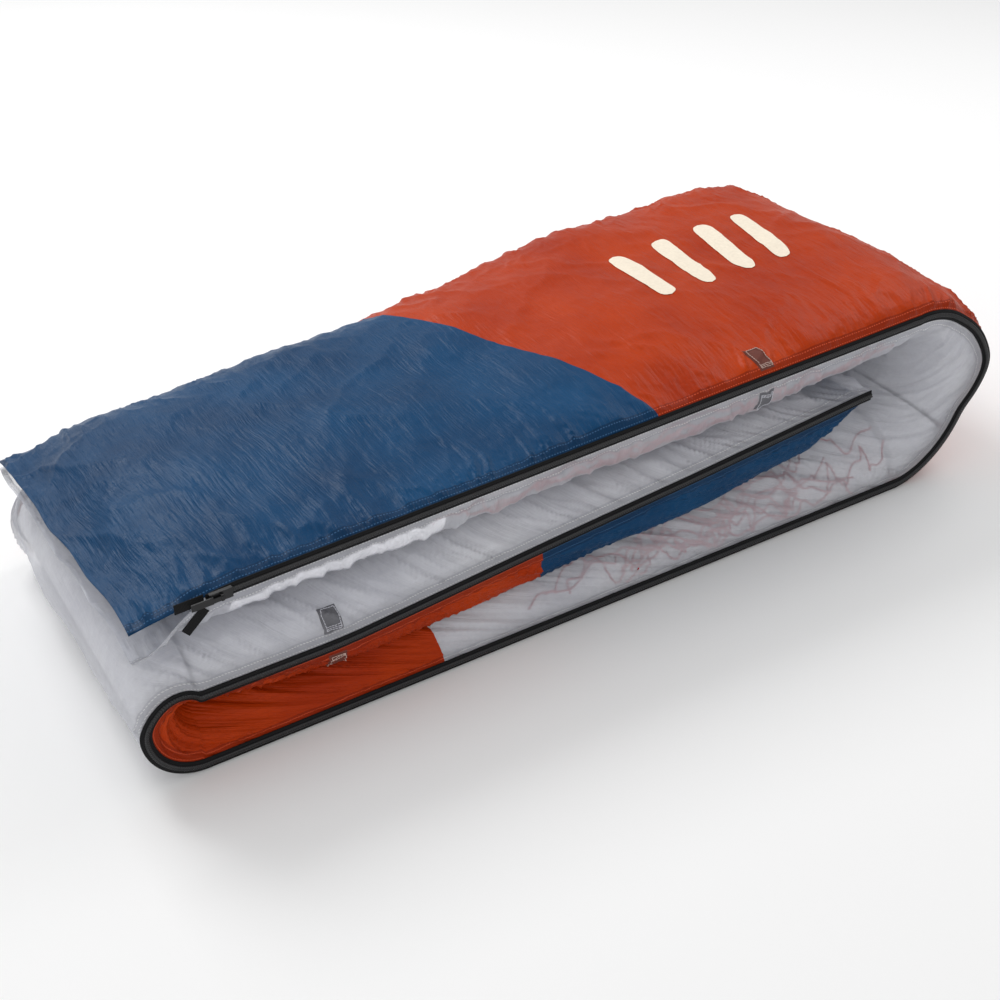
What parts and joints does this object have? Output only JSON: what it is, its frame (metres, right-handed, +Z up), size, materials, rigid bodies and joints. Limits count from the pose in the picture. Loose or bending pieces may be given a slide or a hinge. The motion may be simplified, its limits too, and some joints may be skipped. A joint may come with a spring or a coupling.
{
  "type": "packed kitesurf foil kite",
  "caption": "Foil kite packed in its long zip sack, folded in three like a letter, with an unfolding top layer and a sliding zip.",
  "frame": {"origin": "middle of the bounding box, on the surface the folded sack lies on", "axes": "+X along the folded sack from its open end to its outer fold, -Y the zip side, +Z up"},
  "size_m": [1.07, 0.4265, 0.2533],
  "materials": {
    "ripstop_blue": "thin coated ripstop nylon, blue, soft sheen",
    "ripstop_orange": "thin coated ripstop nylon, red-orange, soft sheen",
    "ripstop_white": "thin translucent uncoated ripstop nylon, white",
    "canopy_cloth": "packed ripstop canopy, white",
    "bridle_line": "coated line, pink",
    "batten_nylon": "nylon rod",
    "zip_tape": "woven zip tape, black",
    "zip_coil": "nylon coil zip, black",
    "slider_metal": "zip slider, black enamel",
    "strap_webbing": "20 mm webbing, black",
    "anchor_patch": "sewn webbing patch",
    "buckle_plastic": "three-bar slider, black",
    "seam_binding": "sewn seam binding",
    "backing_strip": "stiff white sailcloth strip"
  },
  "bodies": {
    "base": {"back_seam_tape_base": "seam_binding", "bridle_lines_bottom": "bridle_line", "canopy_bottom_layer": "canopy_cloth", "canopy_fold_start": "canopy_cloth", "canopy_left_fold": "canopy_cloth", "canopy_middle_layer": "canopy_cloth", "end_b_lower": "ripstop_blue", "end_b_upper": "ripstop_white", "panel_blue_b_under": "ripstop_blue", "panel_orange_a_fold_start": "ripstop_orange", "panel_orange_a_underside": "ripstop_orange", "panel_orange_b_inner": "ripstop_orange", "panel_orange_b_under": "ripstop_orange", "panel_white_a_fold_start": "ripstop_white", "panel_white_a_inner": "ripstop_white", "panel_white_b_left_fold": "ripstop_white", "panel_white_b_top": "ripstop_white", "panel_white_b_underside": "ripstop_white", "strap_anchor_middle_coloured": "anchor_patch", "strap_anchor_middle_white": "anchor_patch", "strap_buckle_middle": "buckle_plastic", "strap_webbing_middle": "strap_webbing", "zip_coil_base": "zip_coil", "zip_tape_base": "zip_tape"},
    "fold_turn": {"back_seam_tape_fold": "seam_binding", "canopy_fold_turn": "canopy_cloth", "panel_orange_a_fold": "ripstop_orange", "panel_white_a_fold": "ripstop_white", "zip_coil_fold": "zip_coil", "zip_tape_fold": "zip_tape"},
    "top_flap": {"back_seam_tape_flap": "seam_binding", "bridle_lines_top": "bridle_line", "canopy_fold_end": "canopy_cloth", "canopy_top_layer": "canopy_cloth", "leading_edge_battens": "batten_nylon", "mouth_hem_lower": "seam_binding", "mouth_hem_upper": "seam_binding", "mouth_lower_lip": "ripstop_white", "mouth_upper_lip": "ripstop_blue", "panel_blue_a_top": "ripstop_blue", "panel_orange_a_fold_end": "ripstop_orange", "panel_orange_a_top": "ripstop_orange", "panel_white_a_fold_end": "ripstop_white", "panel_white_a_under_top": "ripstop_white", "strap_anchor_top_coloured": "anchor_patch", "strap_anchor_top_white": "anchor_patch", "strap_buckle_top": "buckle_plastic", "strap_webbing_top": "strap_webbing", "zip_backing_strip": "backing_strip", "zip_coil_flap": "zip_coil", "zip_tail_lower": "zip_tape", "zip_tail_upper": "zip_tape", "zip_tape_flap": "zip_tape"},
    "slider": {"zip_slider": "slider_metal"},
    "pull": {"slider_pull": "slider_metal"}
  },
  "joints": [
    {"name": "flap_unfold_lower", "type": "hinge", "parent": "base", "child": "fold_turn", "pos_m": [0.49881, 0, 0.03619], "axis": [0, 1, 0], "range_deg": [0, 90]},
    {"name": "flap_unfold_upper", "type": "hinge", "parent": "fold_turn", "child": "top_flap", "pos_m": [0.49881, 0, 0.21381], "axis": [0, 1, 0], "range_deg": [0, 90]},
    {"name": "zip_slide", "type": "slide", "parent": "top_flap", "child": "slider", "axis": [0.9994, 0, 0.0343], "range_m": [0, 0.59]},
    {"name": "pull_swing", "type": "hinge", "parent": "slider", "child": "pull", "pos_m": [-0.442, -0.2117, 0.18745], "axis": [-0.0343, 0, 0.9994], "range_deg": [0, 160]}
  ],
  "couplings": [
    {"joint": "flap_unfold_upper", "follows": "flap_unfold_lower", "ratio": 1}
  ]
}
